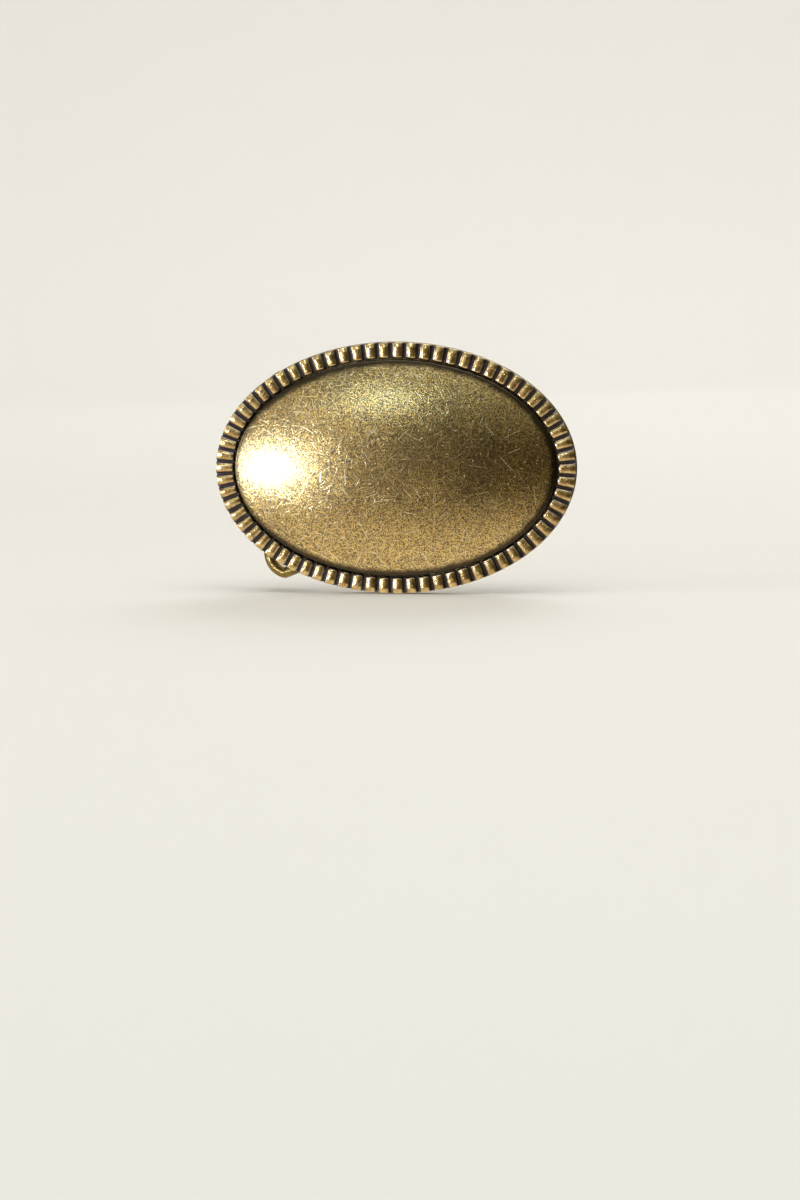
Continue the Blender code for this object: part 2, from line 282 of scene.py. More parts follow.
def oxide_and_painted_highlight(n, across, up):
    """The mask of the dark oxide along the dome's edge, narrowed at the left end as a painted highlight where
    the key light falls.

    across and up are the place on the dome as shares of its half axes.
    """
    out = n.math("SQRT", n.math("ADD", n.math("MULTIPLY", across, across), n.math("MULTIPLY", up, up)))
    steep = n.math("SQRT", n.math("ADD", n.math("POWER", n.math("DIVIDE", across, DOME_HALF[0] * MM), 2.0),
                                  n.math("POWER", n.math("DIVIDE", up, DOME_HALF[1] * MM), 2.0)))
    # about how far inside the edge the place is
    inside = n.math("DIVIDE", n.math("MULTIPLY", out, n.math("SUBTRACT", 1.0, out)), steep)
    wander = n.math("MULTIPLY", n.math("SUBTRACT", n.noise(300, 3), 0.5), 1.1 * MM)
    # painted highlight: the oxide band is narrowed towards the left end, where the key light falls on the
    # edge
    painted_highlight_left = n.ramp(across, -1.0, -0.75, 0.7 * MM, 0.0)
    return n.ramp(n.math("ADD", n.math("ADD", inside, wander), painted_highlight_left), 0.5 * MM, 1.9 * MM, 1.0, 0.0)


def bright_strokes(n, up):
    """Short fine scratches every way, with more level ones towards the top and the bottom of the dome."""
    strokes = n.most([n.scratches(size * MM, long=size * 1.4 * MM, wide=wide * MM, seed=SEED + i, share=0.75)
                      for i, (size, wide) in enumerate(((0.85, 0.085), (1.3, 0.095), (1.9, 0.105)))])
    level = n.scratches(1.0 * MM, long=2.0 * MM, wide=0.12 * MM, seed=SEED + 50, share=0.85,
                        spread=radians(80))
    level = n.math("MULTIPLY", level, n.ramp(n.math("ABSOLUTE", up), 0.35, 0.75))
    return n.math("MAXIMUM", strokes, level)


def face_brass():
    """Worn satin brass with fine scratches every way; the oval's edge keeps its dark oxide, narrowed at the
    left end as a painted highlight.
    """
    n = Nodes("face_brass")
    place = n.split(n.place)
    across = n.math("DIVIDE", place["X"], DOME_HALF[0] * MM)
    up = n.math("DIVIDE", place["Z"], DOME_HALF[1] * MM)
    edge = oxide_and_painted_highlight(n, across, up)

    cloud = n.noise(75, 4, 0.6)
    grain = n.noise(3900, 1.5, 0.6)
    fine = n.noise(8500, 1, 0.5)
    strokes = bright_strokes(n, up)
    dark_strokes = n.most([n.scratches(size * MM, long=size * 1.3 * MM, wide=0.125 * MM, seed=SEED + 10 + i,
                                       share=0.8) for i, size in enumerate((0.85, 1.1))])
    long = n.most([n.scratches(6.5 * MM, long=5.0 * MM, wide=0.11 * MM, seed=SEED + 21, share=0.55),
                   n.scratches(4.2 * MM, long=3.4 * MM, wide=0.10 * MM, seed=SEED + 22, share=0.6)])
    nicks = n.scratches(1.6 * MM, long=0.7 * MM, wide=0.15 * MM, seed=SEED + 31, share=0.55)
    worn = n.mix(n.ramp(grain, 0.44, 0.56), OLIVE, GOLD)
    worn = n.mix(n.math("MULTIPLY", dark_strokes, 0.9), worn, UMBER)
    worn = n.mix(n.ramp(cloud, 0.40, 0.66, 0.0, 0.35), worn, OLIVE)
    worn = n.mix(strokes, worn, BRIGHT)
    marks = n.math("MAXIMUM", long, nicks)
    worn = n.mix(marks, worn, SCRATCHED)
    # the dark oxide along the edge, with its painted highlight at the left end
    colour = n.mix(n.math("MULTIPLY", edge, 0.96), worn, OXIDE)

    # the fine strokes are burnished, and the deeper marks are torn and catch light from further off
    rough = n.ramp(cloud, 0.3, 0.7, 0.28, 0.24)
    rough = n.math("SUBTRACT", rough, n.math("MULTIPLY", strokes, 0.05))
    rough = n.math("ADD", rough, n.math("MULTIPLY", marks, 0.15))
    relief = n.math("ADD", n.math("MULTIPLY", grain, 0.7), n.math("MULTIPLY", fine, 0.4))
    relief = n.math("SUBTRACT", relief, n.math("MULTIPLY", n.math("MAXIMUM", strokes, marks), 0.6))
    relief = n.math("MULTIPLY", relief, n.ramp(edge, 0.0, 1.0, 1.0, 0.12))
    normal = n.bump(relief, 0.014 * MM)
    n.lacquer(n.ramp(edge, 0.0, 1.0, 1.0, 0.15), 0.26, normal, index=1.85)
    return n.finish(colour, rough, normal)


def border_brass():
    """Beads rubbed bright on their crests, with near-black oxide left between them."""
    n = Nodes("border_brass")
    rubbed = n.add("ShaderNodeAttribute", attribute_name="rubbed").outputs["Fac"]
    patchy = n.math("MULTIPLY", n.math("SUBTRACT", n.noise(1000, 4, 0.6), 0.5), 0.35)
    bare = n.ramp(n.math("ADD", rubbed, patchy), 0.68, 0.90)
    brass = n.mix(n.ramp(n.noise(700, 3), 0.36, 0.62), BEAD_DULL, BEAD_RUBBED)
    pits = n.ramp(n.noise(1300, 4, 0.65), 0.57, 0.68)
    brass = n.mix(n.math("MULTIPLY", pits, 0.65), brass, BEAD_PIT)
    colour = n.mix(bare, CREVICE, brass)
    rough = n.ramp(bare, 0.0, 1.0, 0.26, 0.17)
    rough = n.math("ADD", rough, n.math("MULTIPLY", n.noise(1800, 2), 0.1))
    relief = n.math("ADD", n.noise(900, 3, 0.5), n.math("MULTIPLY", pits, -0.35))
    normal = n.bump(relief, 0.05 * MM)
    n.lacquer(1.0, 0.14, n.bump(relief, 0.025 * MM), index=1.8)
    return n.finish(colour, rough, normal)


def aged_brass(name, bare_colour, dark_colour, roughness, rubbed_noise, grain_scale, grain_depth):
    """Oxidised brass with rubbed patches, a cast or tumbled grain and a few long scratches."""
    n = Nodes(name)
    patch = n.noise(rubbed_noise, 4, 0.6)
    speck = n.noise(grain_scale * 1.7, 3, 0.6)
    bare = n.ramp(n.math("ADD", patch, n.math("MULTIPLY", n.math("SUBTRACT", speck, 0.5), 0.7)), 0.30, 0.66)
    colour = n.mix(bare, dark_colour, bare_colour)
    colour = n.mix(n.ramp(n.noise(grain_scale * 3, 2, 0.5), 0.35, 0.65, 0.0, 0.35), colour, dark_colour)
    marks = n.most([n.scratches(3.2 * MM, long=2.8 * MM, wide=0.07 * MM, seed=SEED + 40, share=0.6),
                    n.scratches(5.6 * MM, long=5.0 * MM, wide=0.08 * MM, seed=SEED + 41, share=0.6)])
    colour = n.mix(n.math("MULTIPLY", marks, 0.6), colour, BRIGHT)
    rough = n.ramp(bare, 0.0, 1.0, roughness + 0.12, roughness)
    relief = n.math("SUBTRACT", n.noise(grain_scale, 4, 0.6), n.math("MULTIPLY", marks, 0.5))
    return n.finish(colour, rough, n.bump(relief, grain_depth))


# ---------------------------------------------------------------- the domed face
DOME_COLUMNS = 288
DOME_ROUND = 0.5  # radius of the turned-down edge
DOME_POWER = 2.4  # 2 would be a paraboloid, and more is flatter on top and steeper at the edge
DOME_WAVE = 0.05  # the hammered face isn't quite even
DOME_SLACK = 0.02  # keeps the waves under the CAD's crown
DOME_WALL = 1.1
SHOULDER = 3.9  # height of the face where the edge turns down


def dome_edge():
    """The foot and the rounded edge as (inset, height), and how far the face rises from there."""
    rise = DOME_CROWN - SHOULDER
    slope = atan2(rise * DOME_POWER, DOME_HALF[0])
    centre = SHOULDER - DOME_ROUND * cos(slope)
    foot = [(0.0, DOME_BACK), (0.0, DOME_BACK + 0.5)]
    turn = [slope + (pi / 2 - slope) * (1 - i / 10) for i in range(11)]
    edge = [(DOME_ROUND * (1 - sin(a)), centre + DOME_ROUND * cos(a)) for a in turn]
    return foot + edge, rise


def dome_skin():
    """The outside in rings, from the foot to just short of the crown."""
    edge, rise = dome_edge()
    points = [(x, y, height) for inset, height in edge for x, y in oval_ring(DOME_HALF, DOME_COLUMNS, inset)]
    rim = oval_ring(DOME_HALF, DOME_COLUMNS, edge[-1][0])
    steps = 64
    for i in range(1, steps):
        r = 1 - i / steps
        height = SHOULDER + rise * (1 - r ** DOME_POWER)
        free = 1 - r ** 6  # no waves at the edge
        for x, y in rim:
            wave = noise.noise(Vector((x * r * 0.06, y * r * 0.06, 3.1))) * DOME_WAVE * free
            points.append((x * r, y * r, min(DOME_CROWN, height + wave - DOME_SLACK * free)))
    return points


def dome_lining():
    """The underside in rings: a plain lining that closes the shell."""
    rim = oval_ring(DOME_HALF, DOME_COLUMNS, DOME_WALL)
    steps = 12
    points = []
    for i in range(steps):
        r = 1 - i / steps
        height = DOME_BACK + (DOME_CROWN - DOME_WALL - DOME_BACK) * (1 - r ** 4)
        points += [(x * r, y * r, height) for x, y in rim]
    return points


def make_dome():
    columns = DOME_COLUMNS
    skin, lining = dome_skin(), dome_lining()
    crown, under_crown = (0, 0, DOME_CROWN - DOME_SLACK), (0, 0, DOME_CROWN - DOME_WALL)
    points = skin + [crown] + lining + [under_crown]
    top, bottom = len(skin), len(points) - 1
    inner = top + 1
    faces = grid_faces(len(skin) // columns, columns)
    faces += fan(top - columns, columns, top)
    faces += [face[::-1] for face in grid_faces(len(lining) // columns, columns, start=inner)]
    faces += [(j, inner + j, inner + (j + 1) % columns, (j + 1) % columns) for j in range(columns)]
    faces += fan(bottom - columns, columns, bottom, flip=True)
    dome = add_piece("dome", points, faces, face_brass())
    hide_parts("domed_face")
    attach(dome, "buckle")


# ---------------------------------------------------------------- the beaded border
BEAD_COUNT = 70
BEAD_ROWS, BEAD_COLUMNS = 30, 25  # points along and across one bead
BEAD_LONG = (3.8, 3.4)  # at the ends of the long and the short axis
BEAD_FILL = 0.90  # share of the pitch that a bead takes up
BEAD_CROWD = (0.045, 0.03)  # denser at both ends of the long axis, and again at the left one
BEAD_STAND = 0.90  # above the floor of the crevices
BEAD_SUNK = 0.12  # how deep a bead's foot lies in the band
BEAD_SQUARE = 2.3  # power of its bowed cross-section, where 2 is an ellipse
BAND_INSET = 0.12  # the band's walls stay this far inside the beads' ends
CREVICE_FLOOR = BORDER_FRONT - BEAD_STAND
# Height of a bead's crest along it, as shares, from its inner end at -1 to its outer one at 1: it falls away
# gently inwards and has a slanting cut outwards.
CREST = ((-1.0, 0.0), (-0.99, 0.38), (-0.96, 0.66), (-0.9, 0.84), (-0.8, 0.935), (-0.7, 0.975), (-0.5, 0.996),
         (0.0, 1.0), (0.38, 0.998), (0.46, 0.985), (0.94, 0.74), (0.985, 0.56), (1.0, 0.0))


def bead_middle():
    """Half axes of the oval through the middles of the beads."""
    return BORDER_HALF[0] - BEAD_LONG[0] / 2, BORDER_HALF[1] - BEAD_LONG[1] / 2


def bead_places():
    """Parameter on the middle oval, pitch and radius of curvature there, for each bead."""
    half = bead_middle()
    samples = np.linspace(0, tau, 7201)  # every twentieth of a degree
    middle = (samples[1:] + samples[:-1]) / 2
    speed = np.hypot(half[0] * np.sin(middle), half[1] * np.cos(middle))
    density = 1 + BEAD_CROWD[0] * np.cos(2 * middle) - BEAD_CROWD[1] * np.cos(middle)
    count = np.concatenate([[0], np.cumsum(speed * density)])
    count *= BEAD_COUNT / count[-1]
    at = np.interp(np.arange(BEAD_COUNT), count, samples)
    pitch = np.interp(at, middle, speed / np.diff(count)) * tau / len(middle)
    bend = np.hypot(half[0] * np.sin(at), half[1] * np.cos(at)) ** 3 / (half[0] * half[1])
    return zip(at, pitch, bend)


def bead_points(long, wide, tall, bend):
    """A bar along X with a bowed cross-section, as (x, y, z, how far it is rubbed bare)."""
    ends, crests = zip(*CREST)
    points = []
    for i in range(BEAD_ROWS):
        q = sin((i / (BEAD_ROWS - 1) - 0.5) * pi)
        crest = float(np.interp(q, ends, crests))
        corner, pinch = (0.2, 0.2) if q > 0 else (0.5, 0.34)
        near = max(0.0, 1 - (1 - abs(q)) * long / 2 / corner)
        girth = 1 - pinch * (1 - sqrt(1 - near ** 2))
        kept = smooth(1 - q, 0.0, 0.05) if q > 0 else smooth(1 + q, 0.02, 0.22)
        x = q * long / 2
        for j in range(BEAD_COLUMNS):
            u = -cos(pi * j / (BEAD_COLUMNS - 1))
            z = (1 - abs(u) ** BEAD_SQUARE) ** (1 / BEAD_SQUARE)
            points.append((x, u * wide / 2 * girth * (1 + x / bend), tall * crest * z, z * kept))
    return points


def bead_faces(start):
    """The faces of the bead whose first point has the index start."""
    rows, columns = BEAD_ROWS, BEAD_COLUMNS
    faces = []
    for i in range(rows - 1):
        for j in range(columns - 1):
            a = start + i * columns + j
            faces.append((a, a + columns, a + columns + 1, a + 1))
    # both ends, and the underside that closes the bead inside the band
    faces.append(tuple(start + j for j in range(columns)))
    faces.append(tuple(start + (rows - 1) * columns + j for j in reversed(range(columns))))
    left = [start + i * columns for i in range(rows)]
    faces.append(tuple(left[::-1] + [i + columns - 1 for i in left]))
    return faces


def place_bead(rng, t, pitch, bend):
    """One bead's points where it stands on the border, and how far each is rubbed bare."""
    x0, y0 = oval_point(bead_middle(), t)
    out = normal_angle(bead_middle(), t)
    long = (BEAD_LONG[0] * cos(out) ** 2 + BEAD_LONG[1] * sin(out) ** 2) * rng.uniform(0.985, 1.0)
    wide = pitch * BEAD_FILL * rng.uniform(0.97, 1.02)
    tall = (BEAD_STAND - 0.03) * rng.uniform(0.95, 1.0)
    turn = out + radians(rng.normal(0, 0.6))
    points, rubbed = [], []
    for x, y, z, bare in bead_points(long, wide, tall, bend):
        crest = z / tall
        dent = noise.noise(Vector((x0 * 0.8 + x * 1.1, y0 * 0.8 + y * 1.1, 7.0))) * 0.022
        dent += noise.noise(Vector((x0 * 3 + x * 3, y0 * 3 + y * 3, 2.0))) * 0.014
        z += dent * crest
        height = CREVICE_FLOOR - BEAD_SUNK + z + BEAD_SUNK * min(1, crest * 4)
        points.append((x0 + x * cos(turn) - y * sin(turn), y0 + x * sin(turn) + y * cos(turn),
                       min(BORDER_FRONT, height)))
        rubbed.append(bare)
    return points, rubbed


def band_points(columns):
    """The closed ring that carries the beads, one oval for each point of its section."""
    outer = [half - BAND_INSET for half in BORDER_HALF]
    inner = [half - long + BAND_INSET for half, long in zip(BORDER_HALF, BEAD_LONG)]
    under = CREVICE_FLOOR - 0.15
    section = [(outer, BORDER_BACK), (outer, under), (outer, CREVICE_FLOOR),
               (inner, CREVICE_FLOOR), (inner, under), (inner, BORDER_BACK)]
    return [(x, y, height) for oval, height in section for x, y in oval_ring(oval, columns)]


def make_border():
    rng = np.random.default_rng(SEED)
    points, faces, rubbed = [], [], []
    for t, pitch, bend in bead_places():
        bead, bare = place_bead(rng, t, pitch, bend)
        faces += bead_faces(len(points))
        points += bead
        rubbed += bare
    columns = 420
    band = band_points(columns)
    faces += grid_faces(len(band) // columns, columns, wrap_rows=True, start=len(points))
    points += band
    rubbed += [0.0] * len(band)
    border = add_piece("border", points, faces, border_brass(), radians(50))
    attribute = border.data.attributes.new("rubbed", "FLOAT", "POINT")
    attribute.data.foreach_set("value", np.array(rubbed, np.float32))
    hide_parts("beaded_border")
    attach(border, "buckle")


# ---------------------------------------------------------------- the back
PLATE_COLUMNS = 288
PLATE_ROUND = 0.45  # radius of the plate's rounded edges
# Sizes of the hinge and the hook, as in the CAD.
TUBE_RADIUS, BORE_RADIUS, TUBE_HALF = 2.6, 1.5, 11.0
FOOT_TALL = 1.1
# Sections of the solder fillets, as (outwards from the wall, up from the plate).
FOOT_SOLDER = ((-0.1, -0.2), (0.75, -0.05), (0.66, 0.03), (0.4, 0.1),
               (0.2, 0.22), (0.09, 0.42), (0.02, 0.62), (-0.1, 0.66))
PAD_SOLDER = ((-0.1, -0.2), (0.7, -0.05), (0.6, 0.03), (0.36, 0.1),
              (0.18, 0.22), (0.08, 0.42), (0.02, 0.6), (-0.1, 0.64))
# One side of the solder between the tube and the foot, as (sideways from the axis, up from the foot).
SADDLE_FLARE = ((3.25, -0.12), (3.25, 0.02), (2.98, 0.08), (2.74, 0.3), (2.56, 0.62), (2.44, 1.0))
PEG_LEAN = radians(17.0)
PEG_NECK, PEG_FLARE, PEG_HEAD = 1.75, 2.7, 2.25  # radii
PEG_TOP = 8.22  # just under the CAD's, since the leaning head is wider there
# The peg up to the start of its head, as (distance along it, radius).
PEG = ((0.0, PEG_FLARE - 0.1), (0.12, PEG_FLARE), (0.3, PEG_FLARE - 0.12), (0.5, PEG_FLARE - 0.4),
       (0.8, PEG_FLARE - 0.68), (1.2, PEG_NECK + 0.1), (1.8, PEG_NECK), (2.6, PEG_NECK - 0.05),
       (3.4, PEG_NECK - 0.02), (4.0, PEG_NECK + 0.08), (4.4, PEG_NECK + 0.25), (4.65, PEG_HEAD - 0.12),
       (4.9, PEG_HEAD))


def show(piece, node, body):
    """Stand piece in for the CAD node, if there is one, on that body."""
    if node:
        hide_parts(node)
    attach(piece, body)


def make_plate():
    """The cast plate: rounded edges, and a back that isn't quite flat."""
    # each ring as (inset from the rim, share of the way out, height, depth of the dimples)
    rings = [(PLATE_ROUND, i / 30, PLATE_BACK, 0.045) for i in range(1, 30)]
    for i in range(7):
        a = pi / 2 * i / 6
        rings.append((PLATE_ROUND * (1 - sin(a)), 1, PLATE_BACK + PLATE_ROUND * (1 - cos(a)),
                      0.02 * (1 - i / 6)))
    for i in range(7):
        a = pi / 2 * i / 6
        rings.append((PLATE_ROUND * (1 - cos(a)), 1, PLATE_FRONT - PLATE_ROUND * (1 - sin(a)), 0.0))
    rings.append((PLATE_ROUND, 0.9, PLATE_FRONT, 0.0))
    points = []
    for inset, share, z, dimple in rings:
        for x, y in oval_ring(PLATE_HALF, PLATE_COLUMNS, inset):
            x, y = x * share, y * share
            hollow = 0.5 + 0.5 * noise.noise(Vector((x * 0.9, y * 0.9, 4.0)))
            hollow += 0.6 * (0.5 + 0.5 * noise.noise(Vector((x * 0.16, y * 0.16, 9.0))))
            points.append((x, y, z + dimple * hollow))
    faces = grid_faces(len(rings), PLATE_COLUMNS)
    close_ends(faces, len(rings), PLATE_COLUMNS)
    show(add_piece("plate", points, faces, PLATE_BRASS), "back_plate", "buckle")


def sweep_ring(name, outline, section, material, node=None, wobble=0.0):
    """A closed section of (outwards, backwards) pairs, carried round a closed outline of (x, y, normal).

    wobble is how unevenly the section spreads outwards, in millimetres.
    """
    points = []
    for outwards, backwards in section:
        for x, y, angle in outline:
            sway = wobble * noise.noise(Vector((x * 0.9, y * 0.9, outwards)))
            grow = outwards + (sway if outwards > 0 else 0)
            lift = sway * 0.3 if backwards > 0.1 else 0.0
            points.append((x + grow * cos(angle), y + grow * sin(angle), -backwards - lift))
    faces = [face[::-1] for face in grid_faces(len(section), len(outline), wrap_rows=True)]
    show(add_piece(name, points, faces, material), node, "buckle")


def rounded_box(half_x, half_y, radius, centre_x):
    """A rectangle with round corners as (x, y, normal), with a point every half millimetre or so."""
    outline = []
    corner_steps = 10
    for sx, sy, start in ((1, 1, 0), (-1, 1, pi / 2), (-1, -1, pi), (1, -1, 3 * pi / 2)):
        for i in range(corner_steps):
            a = start + pi / 2 * i / (corner_steps - 1)
            outline.append((centre_x + sx * (half_x - radius) + radius * cos(a),
                            sy * (half_y - radius) + radius * sin(a), a))
    filled = []
    for (x0, y0, normal), (x1, y1, _) in zip(outline, outline[1:] + outline[:1]):
        steps = max(1, round(sqrt((x1 - x0) ** 2 + (y1 - y0) ** 2) / 0.5))
        filled += [(x0 + (x1 - x0) * k / steps, y0 + (y1 - y0) * k / steps, normal) for k in range(steps)]
    return filled


def lathe(name, profile, place, material, node, columns):
    """A turned piece along Y: profile of (radius, y), closed on itself; place is its axis as (x, z)."""
    points = [(place[0] + r * cos(tau * j / columns), y, place[1] + r * sin(tau * j / columns))
              for r, y in profile for j in range(columns)]
    faces = [face[::-1] for face in grid_faces(len(profile), columns, wrap_rows=True)]
    piece = add_piece(name, points, faces, material, radians(35))
    show(piece, node, "buckle")


def make_hinge_foot(x, half_x, half_y):
    """The foot, pillowed, with a fillet of solder round it."""
    outline = rounded_box(half_x, half_y, 1.0, x)
    inner = -2.6  # the section's far side, inside the foot
    section = [(inner, 0.0), (-0.05, 0.0), (0, 0.1), (0, FOOT_TALL - 0.4), (-0.06, FOOT_TALL - 0.2),
               (-0.2, FOOT_TALL - 0.06), (-0.42, FOOT_TALL), (-0.8, FOOT_TALL), (inner, FOOT_TALL)]
    sweep_ring("hinge_foot", outline, section, FITTING_BRASS)
    sweep_ring("hinge_solder", outline, FOOT_SOLDER, SOLDER, wobble=0.25)


def make_hinge_tube(x, axis):
    """The tube, with eased ends."""
    ease = 0.3
    profile = [(BORE_RADIUS, -TUBE_HALF + 0.15), (BORE_RADIUS + 0.15, -TUBE_HALF),
               (TUBE_RADIUS - ease, -TUBE_HALF)]
    profile += [(TUBE_RADIUS - ease + ease * sin(a), -TUBE_HALF + ease * (1 - cos(a)))
                for a in (pi / 6, pi / 3, pi / 2)]
    profile += [(TUBE_RADIUS, -TUBE_HALF + 0.8), (TUBE_RADIUS, TUBE_HALF - 0.8)]
    profile += [(r, -y) for r, y in reversed(profile[:6])]
    lathe("hinge_tube", profile, (x, axis), FITTING_BRASS, "hinge_barrel", 56)


def make_hinge_saddle(x, axis):
    """The solder that fills the corner between the tube and its foot on both sides."""
    touch = TUBE_RADIUS - 0.12  # just inside the tube's wall
    arc = [radians(degrees) for degrees in range(28, 153, 8)]
    around = [(touch * cos(a), axis + touch * sin(a)) for a in arc]
    flare = [(sideways, -FOOT_TALL - up) for sideways, up in SADDLE_FLARE]
    section = flare + around + [(-sideways, z) for sideways, z in reversed(flare)]
    count = 41
    points = []
    for i in range(count):
        y = -TUBE_HALF + 0.15 + (2 * TUBE_HALF - 0.3) * i / (count - 1)
        swell = 1 + 0.035 * noise.noise(Vector((0.5, y * 0.8, 0)))
        points += [(x + sideways * swell, y, z) for sideways, z in section]
    faces = grid_faces(count, len(section))
    close_ends(faces, count, len(section))
    show(add_piece("hinge_saddle", points, faces, SOLDER), None, "buckle")


def make_hinge():
    low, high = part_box("hinge_barrel")
    x = (low.x + high.x) / 2 / MM
    axis = -(high.y / MM - TUBE_RADIUS)
    make_hinge_foot(x, (high.x - low.x) / 2 / MM, (high.z - low.z) / 2 / MM)
    make_hinge_tube(x, axis)
    make_hinge_saddle(x, axis)


def tube_along(name, path, columns, material, cyclic):
    """A round bar along the path of (x, y, z, radius)."""
    count = len(path)
    centres = [Vector(place[:3]) for place in path]
    points = []
    side = None
    for i, (*_, radius) in enumerate(path):
        before = centres[(i - 1) % count] if cyclic or i else centres[0]
        after = centres[(i + 1) % count] if cyclic or i < count - 1 else centres[-1]
        along = Vector()
        for step in (centres[i] - before, after - centres[i]):
            along += step.normalized()
        along.normalize()
        side = side or Vector((0, 0, 1)).cross(along)
        if side.length < 0.1:
            side = Vector((0, 1, 0))
        side = (side - along * side.dot(along)).normalized()
        up = along.cross(side)
        for j in range(columns):
            a = tau * j / columns
            points.append(tuple(centres[i] + radius * (cos(a) * side + sin(a) * up)))
    faces = grid_faces(count, columns, wrap_rows=cyclic)
    if not cyclic:
        close_ends(faces, count, columns)
    return add_piece(name, points, faces, material, radians(40))


def bail_outline():
    """The loop's centre line flat on its own plane, from the hinge's axis at x = 0 to the bar at -reach."""
    reach, half_out, half_in = 14.0, 20.2, 18.0
    corner_out, corner_in = 4.2, 2.4
    lean = atan2(half_out - half_in, reach)
    upper = []
    for x, half, radius, start, end in ((0, half_in, corner_in, 0, pi / 2 + lean),
                                        (-reach, half_out, corner_out, pi / 2 + lean, pi)):
        inward = -1 if x == 0 else 1
        centre = (x + inward * radius, half - radius * (1 - inward * sin(lean)) / cos(lean))
        upper += [(centre[0] + radius * cos(start + (end - start) * i / 13),
                   centre[1] + radius * sin(start + (end - start) * i / 13)) for i in range(14)]
    return upper + [(x, -y) for x, y in reversed(upper)]


def make_bail():
    """The bent wire, as it hangs at rest: tilted out from the plate and slipped down in its hinge."""
    axis_x, axis_y, slip = (value / MM for value in frame["joints"][0]["pos_m"])
    wire = 1.2
    rest = radians(15.0)
    loop = bail_outline()
    path = []
    for (x0, y0), (x1, y1) in zip(loop, loop[1:] + loop[:1]):
        steps = max(1, round(sqrt((x1 - x0) ** 2 + (y1 - y0) ** 2) / 1.2))
        for k in range(steps):
            x, y = x0 + (x1 - x0) * k / steps, y0 + (y1 - y0) * k / steps
            bent = noise.noise(Vector((x * 0.15, y * 0.15, 5.0))) * 0.05
            radius = wire * (0.985 + 0.015 * noise.noise(Vector((x * 0.5, y * 0.5, 1.0))))
            path.append((axis_x + x * cos(rest), y + slip, -axis_y + x * sin(rest) + bent, radius))
    # the wire's finish holds painted shade: darker colours for the shade the loop hangs in
    show(tube_along("bail", path, 28, WIRE_BRASS_PAINTED_SHADE, True), "bail_loop", "bail")


def make_hook_pad(x, radius, top):
    """The round pad, with a fillet of solder round it."""
    circle = [(x + radius * cos(a), radius * sin(a), a) for a in np.linspace(0, tau, 73)[:-1]]
    inner = -radius + 1.2  # the section's far side, round the peg
    pad = [(inner, 0.0), (-0.02, 0.0), (0, 0.1), (0, top - 0.35), (-0.05, top - 0.17), (-0.17, top - 0.05),
           (-0.35, top - 0.01), (-0.8, top), (inner, top)]
    sweep_ring("hook_pad", circle, pad, FITTING_BRASS, "hook_base")
    sweep_ring("hook_solder", circle, PAD_SOLDER, SOLDER, wobble=0.25)


def make_hook_peg(x, z):
    """The peg, which bends over by its lean as it rises, and its rounded head."""
    path, last = [], 0.0
    for distance, radius in PEG:
        turn = PEG_LEAN * smooth(distance, 0.0, 2.4)
        x -= (distance - last) * sin(turn)
        z += (distance - last) * cos(turn)
        last = distance
        path.append((x, 0, -z, radius))
    left = (PEG_TOP - 0.02 - z) / cos(PEG_LEAN)
    for i in range(1, 15):
        part = sin(i / 14 * pi / 2) * 0.995
        radius = PEG_HEAD * (1 - part ** 3.4) ** (1 / 2.2)
        path.append((x - left * part * sin(PEG_LEAN), 0, -(z + left * part * cos(PEG_LEAN)), radius))
    show(tube_along("hook_peg", path, 40, WIRE_BRASS_PAINTED_SHADE, False), "hook_post", "buckle")


def make_hook():
    low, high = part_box("hook_base")
    x, radius = (low.x + high.x) / 2 / MM, (high.x - low.x) / 2 / MM
    top = high.y / MM
    make_hook_pad(x, radius, top)
    make_hook_peg(x, top - 0.05)


# ---------------------------------------------------------------- camera, light and stage
VIEW_AZIMUTH, VIEW_ELEVATION, VIEW_DISTANCE = 5.0, 3.0, 0.6589
VIEW_TARGET = (0.0007, 0.0, -0.0277)  # below the buckle, which is above the middle of the picture
# Azimuth and elevation in degrees, distance and (width, height) in metres, power in watts, colour, and the
# place that it is aimed at, where that isn't the origin.
LIGHTS = {
    "key": (-31.5, -2.7, 0.9, (0.13, 0.21), 2.3, (0.84, 0.94, 1)),
    "haze": (-24, 21, 0.9, (0.35, 0.25), 0.09, (1, 0.95, 0.86)),
    "overhead": (20, 76, 1.2, (1.5, 1.2), 7.5, (1, 0.975, 0.965)),
    "left": (-67, 3, 0.9, (0.22, 0.6), 3.0, (0.93, 0.95, 1)),
    "sheen": (-8.5, 24.8, 0.9, (0.17, 0.085), 0.31, (0.80, 1, 0.95)),
    "back": (170, 35, 1.3, (0.9, 0.7), 4, (1, 0.975, 0.965)),
    "wall": (180, 70, 0.9, (1.6, 0.4), 0.1, (1, 0.975, 0.955), (0, 0.85, 0.35)),
}
STAGE_HALF, STAGE_FRONT = 2.5, -1.6
BACKDROP_START, BACKDROP_BEND, BACKDROP_TOP = 0.35, 0.5, 2.2
LEFT_GLOW, RIGHT_DARK = (0.70, 0.57, 0.33), (0.078, 0.056, 0.018)
CEILING_GLOW, FLOOR_GLOW = (0.43, 0.41, 0.27), (0.98, 0.85, 0.58)


def aim(thing, target):
    thing.rotation_euler = (Vector(target) - thing.location).to_track_quat("-Z", "Y").to_euler()


def polar(azimuth, elevation, distance):
    """A point seen from the origin at that azimuth (to the right of the face's normal) and elevation."""
    a, e = radians(azimuth), radians(elevation)
    return distance * Vector((sin(a) * cos(e), -cos(a) * cos(e), sin(e)))


def make_camera():
    data = bpy.data.cameras.new("camera")
    data.sensor_width = 36
    data.lens = 95
    data.clip_start, data.clip_end = 0.01, 20
    camera = bpy.data.objects.new("camera", data)
    bpy.context.scene.collection.objects.link(camera)
    camera.location = polar(VIEW_AZIMUTH, VIEW_ELEVATION, VIEW_DISTANCE)
    aim(camera, VIEW_TARGET)
    bpy.context.scene.camera = camera


